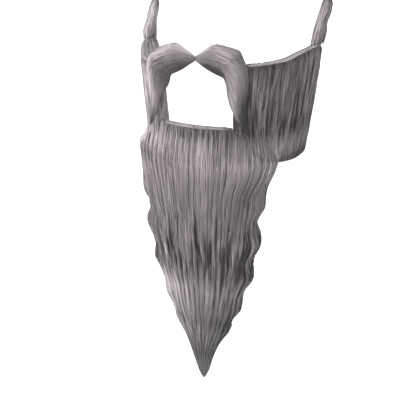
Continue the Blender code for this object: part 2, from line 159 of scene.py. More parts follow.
# Chin beard: long grey synthetic hair in wavy locks, sewn in rows to a shaped base below the mouth opening.
# A bed of matted hair, painted dark as the shade between strands, lies under tiers of combed strands, whose
# locks end in points over the next tier.
# Its forms are in millimetres up to the meshes, and its strands' own sizes are in metres.
MM = 0.001
WALL = 5.7  # hair-covered backing, from its inner to its outer face
JAW_RUNS = (
    {"radius": 92.0, "turn": 19.1},
    {"radius": 42.0, "turn": 40.9},
    {"length": 30.0},
    {"radius": 80.0, "turn": 22.3},
    {"length": 25.6},
)
MOUTH_RUN = 30.9  # along the jaw from the middle of the chin to the mouth opening's side
MOUTH_BOTTOM = 20.1
SEAM_END_RUN = 75.0  # the seam with the cheek runs down to here from the mouth opening's corner
COLLAR_END = -16.0
FALL_START = -36.0
SHOULDER_SWELL = 0.7  # how much more the hair stands out near the shoulders than in the middle
SHOULDER_RUN = 62.0  # from here it draws in again to the seam's end
SHOULDER_FADE = 0.75
SEAM_RISE = (-14.0, 2.0)  # combed hair rises off the wall from 14 above the seam to 2 below it


def table(columns, *rows):
    """A short table, each of its rows as values by column."""
    return [dict(zip(columns.split(), row)) for row in rows]


COLLAR = table(
    "height run swell",
    (20.1, 30.9, 0.0), (11.0, 42.0, 1.2), (2.0, 53.0, 4.0), (-7.0, 64.0, 6.2), (-16.0, 75.0, 6.0),
)
FALL = table(
    "height half_width middle half_depth",
    (-36.0, 55.5, 10.0, 21.5), (-51.0, 57.0, 10.4, 22.0), (-64.0, 50.0, 10.5, 20.0),
    (-89.0, 57.6, 9.8, 21.5), (-119.0, 51.0, 10.5, 19.0), (-137.0, 55.2, 9.6, 19.5),
    (-161.0, 46.4, 8.6, 16.0), (-195.0, 44.8, 9.4, 17.0), (-219.0, 35.2, 8.0, 14.0),
    (-236.0, 35.0, 7.2, 13.0), (-266.0, 23.5, 6.6, 10.0), (-310.0, 13.2, 5.2, 7.0),
    (-350.0, 7.4, 5.4, 4.2), (-381.0, 0.8, 6.4, 0.7),
)
COMBED_WIDTH = table(
    "height half_width",
    (-36.0, 55.0), (-64.0, 53.5), (-137.0, 51.0), (-195.0, 43.0), (-236.0, 34.0), (-266.0, 24.0),
    (-310.0, 13.2), (-350.0, 7.4), (-381.0, 0.8),
)
COMBED_SWEEP = 80  # degrees from the middle of the front, over which combed lanes lie evenly
COMBED_WRAP = 40  # degrees more that the outermost lanes reach round the edges
COMBED_SHIFT = 0.7  # of the whole combed front to the wearer's right
COMBED_FULLNESS = 0.8
TUFT_EDGE = (0.7, 0.99)  # the share of the half width over which lanes take up the outline's tufts
TUFT_REACH = 1.1
BEARD_TOP = 20.4
BEARD_TIP = -381.0
TIP_START = -300.0
OVAL_SHOULDER = math.radians(30)
RIM_ROUND = WALL / 2
HAIR_COLOURS = ("#1E1B1D", "#7A7377", "#D2CACE")


def between(rows, key, at, column):
    """A column of a short table at any value of its key, eased through the rows."""
    rows = sorted(rows, key=lambda row: row[key])
    if at <= rows[0][key]:
        return rows[0][column]
    if at >= rows[-1][key]:
        return rows[-1][column]
    i = next(n for n in range(len(rows) - 1) if at <= rows[n + 1][key])
    low, high = rows[i], rows[i + 1]
    before, after = rows[max(i - 1, 0)], rows[min(i + 2, len(rows) - 1)]
    span = high[key] - low[key]
    t = (at - low[key]) / span
    start = (high[column] - before[column]) / (high[key] - before[key]) * span
    end = (after[column] - low[column]) / (after[key] - low[key]) * span
    return (
        (2 * t**3 - 3 * t**2 + 1) * low[column]
        + (t**3 - 2 * t**2 + t) * start
        + (3 * t**2 - 2 * t**3) * high[column]
        + (t**3 - t**2) * end
    )


def smooth(low, high, at):
    t = min(1.0, max(0.0, (at - low) / (high - low)))
    return t * t * (3 - 2 * t)


def on_jaw(run, height, out):
    """A point a run along the jaw from the middle of the chin, and out from the backing's outer face."""
    side = 1.0 if run >= 0 else -1.0
    left = abs(run)
    x, y, heading = 0.0, -WALL, 0.0
    for part in JAW_RUNS:
        radius = part.get("radius")
        length = radius * math.radians(part["turn"]) if radius else part["length"]
        step = min(left, length)
        if radius:
            turned = heading + step / radius
            x += radius * (math.sin(turned) - math.sin(heading))
            y += radius * (math.cos(heading) - math.cos(turned))
            heading = turned
        else:
            x += step * math.cos(heading)
            y += step * math.sin(heading)
        left -= step
        if left <= 0:
            break
    else:
        x += left * math.cos(heading)
        y += left * math.sin(heading)
    return Vector((side * (x + out * math.sin(heading)), y - out * math.cos(heading), height))


def seam_below(run, height):
    """How far a point lies below the mouth's rim or the seam with the cheek."""
    slope = (MOUTH_BOTTOM - COLLAR_END) / (SEAM_END_RUN - MOUTH_RUN)
    return MOUTH_BOTTOM - slope * max(0.0, abs(run) - MOUTH_RUN) - height


def shoulder(run):
    """How much the hair's swell grows towards the shoulders, before it runs out at the seam's end."""
    growth = 1 + SHOULDER_SWELL * (run / SEAM_END_RUN) ** 2
    return growth * (1 - SHOULDER_FADE * smooth(SHOULDER_RUN, SEAM_END_RUN, abs(run)))


def collar_swell(run, height, combed):
    """How far the hair stands out from the wall round the chin. Combed hair starts flat at the seam."""
    swell = between(COLLAR, "height", height, "swell") * shoulder(run)
    if combed:
        swell *= smooth(*SEAM_RISE, seam_below(run, height))
    return swell


def collar_point(lane, height, combed):
    """The wall round the chin. Combed lanes fall straight down; the others spread from the notch to the seam.

    Lanes from 0 to 1 cross the outer face, and those from 1 to 2 come back over the inner one.
    """
    reach = SEAM_END_RUN if combed else between(COLLAR, "height", height, "run")
    across = 2 * lane - 1 if lane <= 1 else 3 - 2 * lane
    run = across * reach
    rim = min(1.0, max(0.0, (BEARD_TOP - height) / RIM_ROUND))
    opened = math.sqrt(max(0.0, 1 - (1 - rim) ** 2))
    if lane > 1:
        return on_jaw(run, height, -WALL / 2 - WALL / 2 * opened)
    return on_jaw(run, height, -WALL / 2 + (WALL / 2 + collar_swell(run, height, combed)) * opened)


def fall_point(lane, height, combed):
    """The long oval. Combed lanes run nearly straight, and only those near its edges follow its tufts."""
    half_width = between(FALL, "height", height, "half_width")
    middle = between(FALL, "height", height, "middle")
    half_depth = between(FALL, "height", height, "half_depth")
    shift = 0.0
    if lane <= 1:
        start, sweep, share = math.pi - OVAL_SHOULDER, math.pi + 2 * OVAL_SHOULDER, lane
    else:
        start, sweep, share = OVAL_SHOULDER, math.pi - 2 * OVAL_SHOULDER, lane - 1
    angle = start + sweep * share
    if combed and lane <= 1:
        aside = 2 * lane - 1
        angle = math.radians(270 + COMBED_SWEEP * aside + COMBED_WRAP * aside**7)
    if combed:
        straight_width = between(COMBED_WIDTH, "height", height, "half_width")
        tufts = TUFT_REACH * (half_width - straight_width)
        half_width = straight_width + tufts * smooth(*TUFT_EDGE, abs(math.cos(angle)))
        half_width += COMBED_FULLNESS * smooth(BEARD_TIP, TIP_START, height)
        shift = COMBED_SHIFT
    return Vector((half_width * math.cos(angle) - shift, middle + half_depth * math.sin(angle), height))


def beard_point(lane, height, combed):
    if height >= COLLAR_END:
        return collar_point(lane, height, combed)
    if height <= FALL_START:
        return fall_point(lane, height, combed)
    share = smooth(COLLAR_END, FALL_START, height)
    point = collar_point(lane, COLLAR_END, combed).lerp(fall_point(lane, FALL_START, combed), share)
    return Vector((point.x, point.y, height))


def guide_surface(name, rings):
    """A sheet rolled round a piece for its strands to lie on: U runs round it, V from the roots to the tips.

    It also keeps the outward direction at each point, for lifting strands off it.
    """
    grid = np.array([[tuple(p) for p in ring] for ring in rings]) * MM
    rows, columns = grid.shape[:2]
    along = np.gradient(grid, axis=0)
    ring_loop = np.concatenate([grid[:, -2:-1], grid, grid[:, 1:2]], axis=1)
    around = ring_loop[:, 2:] - ring_loop[:, :-2]
    outward = np.cross(along, around)
    centre = grid[:, :-1].mean(axis=1, keepdims=True)
    if (outward * (grid - centre)).sum() < 0:
        outward = -outward
    outward /= np.maximum(np.linalg.norm(outward, axis=2, keepdims=True), 1e-12)
    mesh = bpy.data.meshes.new(name)
    corners = [
        (r * columns + c, r * columns + c + 1, (r + 1) * columns + c + 1, (r + 1) * columns + c)
        for r in range(rows - 1)
        for c in range(columns - 1)
    ]
    mesh.from_pydata(grid.reshape(-1, 3).tolist(), [], corners)
    step = np.linalg.norm(np.diff(grid, axis=0), axis=2).mean(axis=1)
    fall = np.concatenate([[0.0], np.cumsum(step)])
    fall /= fall[-1]
    uv = np.stack(np.meshgrid(np.linspace(0, 1, columns), fall), axis=-1).reshape(-1, 2)
    layer = mesh.uv_layers.new(name="comb")
    index = np.zeros(len(mesh.loops), np.int32)
    mesh.loops.foreach_get("vertex_index", index)
    layer.data.foreach_set("uv", uv[index].astype(np.float32).ravel())
    mesh.attributes.new("outward", "FLOAT_VECTOR", "POINT").data.foreach_set(
        "vector", outward.reshape(-1, 3).astype(np.float32).ravel()
    )
    return mesh


def combed_hair_tree():
    """Strands laid on a guide surface, gathered in locks, waved and tapering, each a closed sliver."""
    tree = bpy.data.node_groups.new("combed_hair", "GeometryNodeTree")
    face = tree.interface
    face.new_socket("Geometry", in_out="OUTPUT", socket_type="NodeSocketGeometry")
    face.new_socket("Guide", in_out="INPUT", socket_type="NodeSocketGeometry")
    for name in ("Strands", "Points", "Seed", "Locks"):
        face.new_socket(name, in_out="INPUT", socket_type="NodeSocketInt")
    for name in (
        "From U", "To U", "Root", "Root Spread", "Tip", "Tip Spread", "Pinch", "Wave", "Waves", "Width",
        "Relief", "Lift", "Tuck", "Middle U", "Flat U", "Seam Slope", "Over Seam",
    ):
        face.new_socket(name, in_out="INPUT", socket_type="NodeSocketFloat")
    face.new_socket("Hair", in_out="INPUT", socket_type="NodeSocketMaterial")
    given = add_node(tree, "NodeGroupInput").outputs

    def made(kind, inputs=None, output=0, **settings):
        return add_node(tree, kind, inputs, **settings).outputs[output]

    def calc(operation, a, b=0.0, c=0.0):
        inputs = {0: a, 1: b}
        if operation in ("MULTIPLY_ADD", "WRAP"):
            inputs[2] = c
        return made("ShaderNodeMath", inputs, operation=operation)

    def vector(operation, inputs):
        return made("ShaderNodeVectorMath", inputs, operation=operation)

    def chance(of, salt):
        seed = made("FunctionNodeIntegerMath", {0: given["Seed"], 1: salt}, operation="ADD")
        node = add_node(tree, "FunctionNodeRandomValue", {"ID": of, "Seed": seed}, data_type="FLOAT")
        return next(socket for socket in node.outputs if socket.enabled)

    def eased(value, low, high, to_low=0.0, to_high=1.0):
        inputs = {"Value": value, "From Min": low, "From Max": high, "To Min": to_low, "To Max": to_high}
        return made("ShaderNodeMapRange", inputs, "Result", interpolation_type="SMOOTHSTEP")

    def kept_on_guide(name):
        return made("GeometryNodeInputNamedAttribute", {"Name": name}, data_type="FLOAT_VECTOR")

    def stored(geometry, name, value):
        inputs = {"Geometry": geometry, "Name": name, "Value": value}
        return made("GeometryNodeStoreNamedAttribute", inputs, data_type="FLOAT", domain="POINT")

    straight = made("GeometryNodeCurvePrimitiveLine", {"End": (0.0, 0.0, 1.0)})
    straight = made("GeometryNodeResampleCurve", {"Curve": straight, "Count": given["Points"]})
    spots = made("GeometryNodePoints", {"Count": given["Strands"]})
    copies = made("GeometryNodeInstanceOnPoints", {"Points": spots, "Instance": straight})
    strands = made("GeometryNodeRealizeInstances", {"Geometry": copies})

    point = made("GeometryNodeInputIndex")
    strand = made("FunctionNodeIntegerMath", {0: point, 1: given["Points"]}, operation="DIVIDE_FLOOR")
    t = made("GeometryNodeSplineParameter", output="Factor")

    # Each strand has a place round the guide, and belongs to the lock that this place falls in.
    share = calc("DIVIDE", calc("ADD", strand, chance(strand, 1)), given["Strands"])
    reach_u = calc("SUBTRACT", given["To U"], given["From U"])
    start_u = calc("MULTIPLY_ADD", share, reach_u, given["From U"])
    lock_place = calc("MULTIPLY", start_u, given["Locks"])
    lock = calc("FLOOR", lock_place)
    in_lock = calc("SUBTRACT", lock_place, lock)
    lock_u = calc("DIVIDE", calc("ADD", lock, 0.5), given["Locks"])

    # Roots follow the seam down, a little over it, and the tips of a lock end near each other.
    seam_step, seam_in_tips, lock_in_tips = 0.012, 0.35, 0.4
    guide_margin = 0.0005
    from_middle = calc("ABSOLUTE", calc("SUBTRACT", start_u, given["Middle U"]))
    beyond = calc("SUBTRACT", from_middle, given["Flat U"])
    seam = calc("MULTIPLY", calc("MAXIMUM", beyond, 0.0), given["Seam Slope"])
    root = calc("MULTIPLY_ADD", chance(strand, 2), given["Root Spread"], given["Root"])
    over_seam = calc("MULTIPLY", eased(beyond, 0.0, seam_step), given["Over Seam"])
    root = calc("SUBTRACT", calc("ADD", root, seam), over_seam)
    own_tip = calc("MULTIPLY", chance(strand, 4), 1 - lock_in_tips)
    tip_share = calc("MULTIPLY_ADD", chance(lock, 3), lock_in_tips, own_tip)
    tip = calc("ADD", given["Tip"], calc("MULTIPLY", seam, seam_in_tips))
    tip = calc("MULTIPLY_ADD", tip_share, given["Tip Spread"], tip)
    v = calc("MULTIPLY_ADD", t, calc("SUBTRACT", tip, root), root)
    v = calc("MINIMUM", calc("MAXIMUM", v, guide_margin), 1 - guide_margin)

    # Down its length a strand draws in to its lock, and waves with it and a little on its own.
    gather_start, wave_start, own_rate, own_share = 0.15, 0.3, 1.7, 0.4
    gather = calc("MULTIPLY", eased(t, gather_start, 1.0), given["Pinch"])
    u = calc("MULTIPLY_ADD", calc("SUBTRACT", lock_u, start_u), gather, start_u)
    turns = calc("MULTIPLY", v, given["Waves"])
    lock_wave = calc("SINE", calc("MULTIPLY", calc("ADD", turns, chance(lock, 5)), 2 * math.pi))
    own_turns = calc("MULTIPLY_ADD", turns, own_rate, chance(strand, 6))
    own_wave = calc("SINE", calc("MULTIPLY", own_turns, 2 * math.pi))
    wave = calc("MULTIPLY", calc("MULTIPLY_ADD", own_wave, own_share, lock_wave), given["Wave"])
    u = calc("MULTIPLY_ADD", wave, eased(t, 0.0, wave_start), u)
    u = calc("WRAP", u, 1.0, 0.0)

    place_uv = made("ShaderNodeCombineXYZ", {"X": u, "Y": v})
    comb_uv = kept_on_guide("comb")
    here = made("GeometryNodeInputPosition")

    def on_guide(value):
        node = add_node(
            tree,
            "GeometryNodeSampleUVSurface",
            {"Mesh": given["Guide"], "Source UV Map": comb_uv, "Sample UV": place_uv},
            data_type="FLOAT_VECTOR",
        )
        tree.links.new(value, next(s for s in node.inputs if s.enabled and s.identifier.startswith("Value")))
        return next(s for s in node.outputs if s.enabled and s.name == "Value")

    # Off the guide it lifts by its lock's round crest and its own looseness, with its root tucked in.
    tuck_end = 0.16
    away = vector("NORMALIZE", {0: on_guide(kept_on_guide("outward"))})
    from_crest = calc("ABSOLUTE", calc("MULTIPLY_ADD", in_lock, 2.0, -1.0))
    crest = calc("SUBTRACT", 1.0, calc("POWER", from_crest, 2.0))
    ridge = calc("MULTIPLY", crest, given["Relief"])
    loose = calc("MULTIPLY", chance(strand, 7), given["Lift"])
    tucked = calc("MULTIPLY", eased(t, 0.0, tuck_end, 1.0, 0.0), given["Tuck"])
    lift = calc("SUBTRACT", calc("ADD", ridge, loose), tucked)
    raised = vector("SCALE", {0: away, "Scale": lift})
    place = vector("ADD", {0: on_guide(here), 1: raised})

    # It is thin at its root, full a little below, and tapers to a point.
    root_end, root_width, taper, least_width = 0.22, 0.25, 2.4, 0.06
    thinnest, stout_spread = 0.6, 0.8
    strands = made("GeometryNodeSetPosition", {"Geometry": strands, "Position": place})
    strands = add_node(tree, "GeometryNodeSetCurveNormal", {"Curve": strands}, mode="FREE")
    tree.links.new(away, strands.inputs["Normal"])
    strands = strands.outputs[0]
    point_off = calc("SUBTRACT", 1.0, calc("POWER", t, taper))
    body = calc("MULTIPLY", eased(t, 0.0, root_end, root_width, 1.0), point_off)
    body = calc("MULTIPLY_ADD", body, 1 - least_width, least_width)
    stout = calc("MULTIPLY_ADD", chance(strand, 8), stout_spread, thinnest)
    radius = calc("MULTIPLY", body, calc("MULTIPLY", stout, given["Width"]))
    kept = {"along": t, "shade": chance(strand, 9), "crest": crest, "around": u, "down": v}
    for name, value in kept.items():
        strands = stored(strands, name, value)

    section = made("GeometryNodeCurvePrimitiveCircle", {"Resolution": 3, "Radius": 0.5}, mode="RADIUS")
    section = made("GeometryNodeTransform", {"Geometry": section, "Scale": (0.5, 1.2, 1.0)})
    section = stored(section, "across", made("ShaderNodeSeparateXYZ", {0: here}, "Y"))
    slivers = {"Curve": strands, "Profile Curve": section, "Scale": radius, "Fill Caps": True}
    slivers = made("GeometryNodeCurveToMesh", slivers)
    slivers = made("GeometryNodeSetShadeSmooth", {"Geometry": slivers})
    slivers = made("GeometryNodeRealizeInstances", {"Geometry": slivers})
    slivers = made("GeometryNodeSetMaterial", {"Geometry": slivers, "Material": given["Hair"]})
    add_node(tree, "NodeGroupOutput", {"Geometry": slivers})
    return tree


COMBED = combed_hair_tree()
COMB_DEFAULTS = {
    "Locks": 20, "Points": 8, "From U": 0.0, "To U": 1.0, "Root": 0.0, "Root Spread": 0.1, "Tip": 0.5,
    "Tip Spread": 0.1, "Pinch": 0.4, "Wave": 0.0, "Waves": 3.0, "Width": 0.0018, "Relief": 0.0012,
    "Lift": 0.0008, "Tuck": 0.0012, "Middle U": 0.5, "Flat U": 0.0, "Seam Slope": 0.0, "Over Seam": 0.0,
}


def hand_over(name, mesh, node):
    """Makes a piece that rides on the part's one body and is shown instead of one of its solids."""
    made = new_object(name, mesh)
    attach(made, "root")
    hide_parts(node)


def comb(name, guide, hair, layers, node):
    """Lays each layer of strands on the guide, joins them in one mesh and hands it to the frame."""
    joined = bmesh.new()
    for number, layer in enumerate(layers):
        holder = new_object(f"{name}_layer", guide)
        modifier = holder.modifiers.new("comb", "NODES")
        modifier.node_group = COMBED
        settings = {**COMB_DEFAULTS, **layer, "Hair": hair, "Seed": 100 * number + len(name)}
        for socket in COMBED.interface.items_tree:
            if socket.in_out == "INPUT" and socket.name in settings:
                modifier[socket.identifier] = settings[socket.name]
        evaluated = holder.evaluated_get(bpy.context.evaluated_depsgraph_get())
        combed = bpy.data.meshes.new_from_object(evaluated)
        joined.from_mesh(combed)
        bpy.data.objects.remove(holder, do_unlink=True)
        bpy.data.meshes.remove(combed)
    mesh = bpy.data.meshes.new(name)
    joined.to_mesh(mesh)
    joined.free()
    mesh.materials.append(hair)
    hand_over(name, mesh, node)


STREAKS_ROUND = 75.0  # long streaks in one turn round a piece
STRAY = 0.3  # of a streak, how far a strand may lie from its streak's place
LONG_RATE = 15.0  # changes down one metre
SHORT_RATE = 32.0
SHORT_NARROWNESS = 2.4
SHORT_SHARE = 0.7
GAP_SHADE_START = -0.06  # where a streak is this dark or darker, painted shade shows a slit between locks
GAP_SHADE_DEPTH = 2.2
LINE_TONE = 0.26
SHADE_TONE = 0.12
# painted highlight along each lock's crest and painted shade at its edges
CREST_PAINTED_LIGHT = 0.10
RAMP_ENDS = (0.05, 0.95)


def hair_finish(name, colours, over, stops, fades=(), skew=0.0, streak_width=1.0, mirrored=False):
    """Synthetic hair: long light and dark streaks with painted shade in the slits between them, each strand's
    own shade, fine lines down every strand and a painted highlight on each lock's crest.

    Stops give a place along the piece's height in millimetres, or around it, with the tone there, how strong
    the streaks are and how much painted shade darkens it over 100 mm to the wearer's left, away from the key
    light, or to both sides if mirrored.
    Each fade adds to the tone between two places from the roots to the tips. With a skew the places around
    the piece shift on the way down.
    """
    material, tree, shader = new_material(name)

    def read(attribute):
        return add_node(tree, "ShaderNodeAttribute", attribute_name=attribute).outputs["Fac"]

    def calc(operation, a, b=0.0, c=0.0):
        return add_node(tree, "ShaderNodeMath", {0: a, 1: b, 2: c}, operation=operation).outputs[0]

    def spread(value, low, high, to_high=1.0):
        inputs = {"Value": value, "From Min": low, "From Max": high, "To Min": 0.0, "To Max": to_high}
        return add_node(tree, "ShaderNodeMapRange", inputs).outputs["Result"]

    def noise(x, y, z, detail):
        at = add_node(tree, "ShaderNodeCombineXYZ", {"X": x, "Y": y, "Z": z}).outputs[0]
        node = add_node(tree, "ShaderNodeTexNoise", {"Vector": at, "Scale": 1.0, "Detail": detail})
        return calc("SUBTRACT", node.outputs["Fac"], 0.5)

    place = add_node(tree, "ShaderNodeTexCoord").outputs["Object"]
    place = add_node(tree, "ShaderNodeSeparateXYZ", {0: place}).outputs
    height = place["Z"]
    around, down, shade = read("around"), read("down"), read("shade")

    # The stops are one colour ramp, with the tone in red, the streaks' strength in green, and the slope of
    # the painted side shade in blue.
    if over == "height":
        at = calc("MULTIPLY", height, 1000.0)
    else:
        at = calc("MULTIPLY_ADD", down, skew, around)
    low, high = stops[0][0], stops[-1][0]
    bands = add_node(tree, "ShaderNodeValToRGB", {"Fac": spread(at, low, high)})
    bands.color_ramp.elements.remove(bands.color_ramp.elements[1])
    for value, tone, contrast, slope in stops:
        stop = bands.color_ramp.elements.new((value - low) / (high - low))
        stop.color = (tone / 2, contrast / 2, slope / 4 + 0.5, 1.0)
    bands.color_ramp.elements.remove(bands.color_ramp.elements[0])
    bands = add_node(tree, "ShaderNodeSeparateColor", {0: bands.outputs["Color"]}).outputs
    tone = calc("MULTIPLY", bands["Red"], 2.0)
    contrast = calc("MULTIPLY", bands["Green"], 2.0)
    slope = calc("MULTIPLY_ADD", bands["Blue"], 4.0, -2.0)

    # Streaks follow the strands down, with painted shade in the slits where they part. Each strand has its
    # own fine lines.
    flow = calc("MULTIPLY_ADD", shade, STRAY, calc("MULTIPLY", around, STREAKS_ROUND / streak_width))
    long_streaks = noise(flow, calc("MULTIPLY", height, LONG_RATE), 3.0, 2.0)
    narrow_flow = calc("MULTIPLY", flow, SHORT_NARROWNESS)
    short_streaks = noise(narrow_flow, calc("MULTIPLY", height, SHORT_RATE), 9.0, 1.0)
    across, along = calc("MULTIPLY", read("across"), 10.0), calc("MULTIPLY", read("along"), 3.0)
    lines = noise(across, along, calc("MULTIPLY", shade, 91.0), 2.0)
    gap_shade = calc("MAXIMUM", calc("SUBTRACT", GAP_SHADE_START, long_streaks), 0.0)
    streaks = calc("MULTIPLY_ADD", short_streaks, SHORT_SHARE, long_streaks)
    streaks = calc("SUBTRACT", streaks, calc("MULTIPLY", gap_shade, GAP_SHADE_DEPTH))
    tone = calc("MULTIPLY_ADD", streaks, contrast, tone)
    # Painted shade: darker towards the wearer's left, away from the key light, or towards both sides if
    # mirrored.
    aside = calc("MULTIPLY", place["X"], 10.0)
    if mirrored:
        aside = calc("ABSOLUTE", aside)
    tone = calc("SUBTRACT", tone, calc("MULTIPLY", aside, slope))
    tone = calc("MULTIPLY_ADD", lines, LINE_TONE, tone)
    tone = calc("MULTIPLY_ADD", calc("SUBTRACT", shade, 0.5), SHADE_TONE, tone)
    # Painted highlight along each lock's crest and painted shade at its edges.
    tone = calc("MULTIPLY_ADD", calc("SUBTRACT", read("crest"), 0.6), CREST_PAINTED_LIGHT, tone)
    for start, end, added in fades:
        tone = calc("ADD", tone, spread(down, start, end, added))

    ramp = add_node(tree, "ShaderNodeValToRGB", {"Fac": tone})
    for element, position, colour in zip(ramp.color_ramp.elements, RAMP_ENDS, (colours[0], colours[2])):
        element.position = position
        element.color = linear(colour)
    ramp.color_ramp.elements.new(0.5).color = linear(colours[1])
    bump = add_node(tree, "ShaderNodeBump", {"Strength": 0.5, "Distance": 0.0003, "Height": lines})
    tree.links.new(ramp.outputs["Color"], shader["Base Color"])
    tree.links.new(bump.outputs["Normal"], shader["Normal"])
    tree.links.new(calc("MULTIPLY_ADD", lines, 0.3, 0.48), shader["Roughness"])
    shader["Specular IOR Level"].default_value = 0.4
    return material


def matted_finish(name, light, dark):
    """The bed of flattened hair under the combed strands, with streaks down its length, painted dark as the
    shade that shows between the strands.
    """
    material, tree, shader = new_material(name)
    place = add_node(tree, "ShaderNodeTexCoord").outputs["Object"]
    drawn_out = {"Vector": place, "Scale": (900.0, 900.0, 60.0)}
    drawn_out = add_node(tree, "ShaderNodeMapping", drawn_out).outputs[0]
    streaks = {"Vector": drawn_out, "Scale": 1.0, "Detail": 3.0}
    streaks = add_node(tree, "ShaderNodeTexNoise", streaks).outputs["Fac"]
    ramp = add_node(tree, "ShaderNodeValToRGB", {"Fac": streaks})
    for element, position, colour in zip(ramp.color_ramp.elements, (0.35, 0.68), (dark, light)):
        element.position = position
        element.color = linear(colour)
    bump = add_node(tree, "ShaderNodeBump", {"Strength": 0.7, "Distance": 0.0005, "Height": streaks})
    tree.links.new(ramp.outputs["Color"], shader["Base Color"])
    tree.links.new(bump.outputs["Normal"], shader["Normal"])
    shader["Roughness"].default_value = 0.7
    return material


def bed(name, rings, finish, node):
    """A closed form from rings of points, joined across its first and last ring."""
    shape = bmesh.new()
    loops = [[shape.verts.new(Vector(p) * MM) for p in ring[:-1]] for ring in rings]
    size = len(loops[0])
    for upper, lower in zip(loops, loops[1:]):
        for i in range(size):
            j = (i + 1) % size
            shape.faces.new((upper[i], upper[j], lower[j], lower[i]))
    for loop in (loops[0], loops[-1]):
        for i in range(size // 2):
            corners = (loop[i], loop[i + 1], loop[size - 1 - i], loop[(size - i) % size])
            shape.faces.new(list(dict.fromkeys(corners)))
    bmesh.ops.recalc_face_normals(shape, faces=shape.faces)
    mesh = bpy.data.meshes.new(name)
    shape.to_mesh(mesh)
    shape.free()
    mesh.materials.append(finish)
    mesh.shade_smooth()
    hand_over(name, mesh, node)


def inset(ring, by):
    """A ring of points drawn in towards its middle line by a distance, for the bed under the strands."""
    points = [Vector(p) for p in ring[:-1]]
    count = len(points)
    drawn = []
    for i, p in enumerate(points):
        along = points[(i + 1) % count] - points[i - 1]
        outward = Vector((along.y, -along.x, 0.0))
        if outward.length < 1e-6:
            drawn.append(p)
            continue
        outward.normalize()
        drawn.append(p - outward * by)
    return drawn + [drawn[0]]


def beard_ring(count, height, combed):
    return [beard_point(2 * i / count % 2.0, height, combed) for i in range(count + 1)]


BEARD_HEIGHTS = [20.38, 20.2, 19.9, 19.4, 18.8, 18.0, 17.0]  # close together round the rim
BEARD_HEIGHTS += [*np.arange(15.0, -380.0, -4.0), BEARD_TIP]
GUIDE_INSET = 0.1  # at the collar, less towards the tip
BED_INSET = 1.0
BED_TIP_INSET = 0.2
BED_TIP_START = -340.0
beard_guide = guide_surface(
    "beard_guide",
    [inset(beard_ring(160, h, True), GUIDE_INSET * smooth(BEARD_TIP, TIP_START, h)) for h in BEARD_HEIGHTS],
)
BEARD_TONES = (
    (-381.0, 0.12, 0.5, 0.3), (-310.0, 0.06, 0.5, 0.4), (-266.0, 0.19, 0.5, 0.55), (-236.0, 0.29, 0.5, 0.75),
    (-219.0, 0.25, 0.4, 0.75), (-195.0, 0.38, 0.4, 0.65), (-161.0, 0.44, 0.4, 0.4), (-137.0, 0.25, 0.8, 0.2),
    (-119.0, 0.23, 1.3, 0.2), (-89.0, 0.37, 1.1, 0.15), (-64.0, 0.34, 0.5, 0.15), (-36.0, 0.37, 0.22, 0.2),
    (-24.0, 0.42, 0.2, 0.15), (-16.0, 0.47, 0.2, 0.0), (-8.0, 0.51, 0.2, -0.1), (0.0, 0.54, 0.22, 0.15),
    (8.0, 0.57, 0.25, 0.4), (14.0, 0.53, 0.3, 0.55), (20.5, 0.48, 0.3, 0.7),
)
# Mid grey, darker to the tip, with a painted highlight at the collar where the shoulder catches the light,
# and painted shade in its deepest slits in the upper half, where one tier's tips overhang the next.
beard_hair = hair_finish("grey_beard_hair", HAIR_COLOURS, "height", BEARD_TONES)
# Painted shade: the bed under the beard and the moustache is dark where shade shows between the strands.
shaded_matted_grey = matted_finish("matted_grey_hair", "#5C5659", "#2A2628")
bed(
    "beard_bed",
    [inset(beard_ring(80, h, False), BED_INSET if h > BED_TIP_START else BED_TIP_INSET)
     for h in BEARD_HEIGHTS[1:-3:2]],
    shaded_matted_grey, "chin_beard",
)


def rim_guide(name, path):
    """A flattened tube along a wall's top edge, from runs along the jaw and heights, for the rim's hair."""
    centre_drop, half_height, half_thick = 0.9, 0.5, WALL / 2 - 0.9
    turns = [2 * math.pi * (i % 16) / 16 for i in range(17)]
    rings = []
    for run, height in path:
        low = height - centre_drop
        rings.append([
            on_jaw(run, low + half_height * math.sin(turn), -WALL / 2 + half_thick * math.cos(turn))
            for turn in turns
        ])
    return guide_surface(name, rings)


RIM_TONES = ((-10.0, 0.58, 0.5, 0.1), (40.0, 0.56, 0.5, 0.0), (80.0, 0.53, 0.5, -0.1))
RIM_STRANDS = {
    "Strands": 56, "Points": 7, "Locks": 9, "Root Spread": 0.1, "Tip Spread": 0.12, "Pinch": 0.1,
    "Wave": 0.004, "Waves": 3.0, "Width": 0.0011, "Relief": 0.0001, "Lift": 0.0003, "Tuck": 0.0002,
}
RIM_LAYERS = [{**RIM_STRANDS, "Root": at, "Tip": at + 0.34} for at in (0.0, 0.08, 0.2, 0.32, 0.44, 0.52)]
RIM_OVERLAP = 1.02
RIM_STANDS_UP = 0.3
# Even and pale, a painted highlight where the rim's hair lies flat and catches the light.
rim_hair = hair_finish("painted_highlight_rim_hair", HAIR_COLOURS, "height", RIM_TONES)
rim_path = [(MOUTH_RUN * (k / 16 - 1) * RIM_OVERLAP, MOUTH_BOTTOM + RIM_STANDS_UP) for k in range(33)]
beard_rim = rim_guide("beard_rim_guide", rim_path)
comb("beard_rim_hair", beard_rim, rim_hair, RIM_LAYERS, "chin_beard")

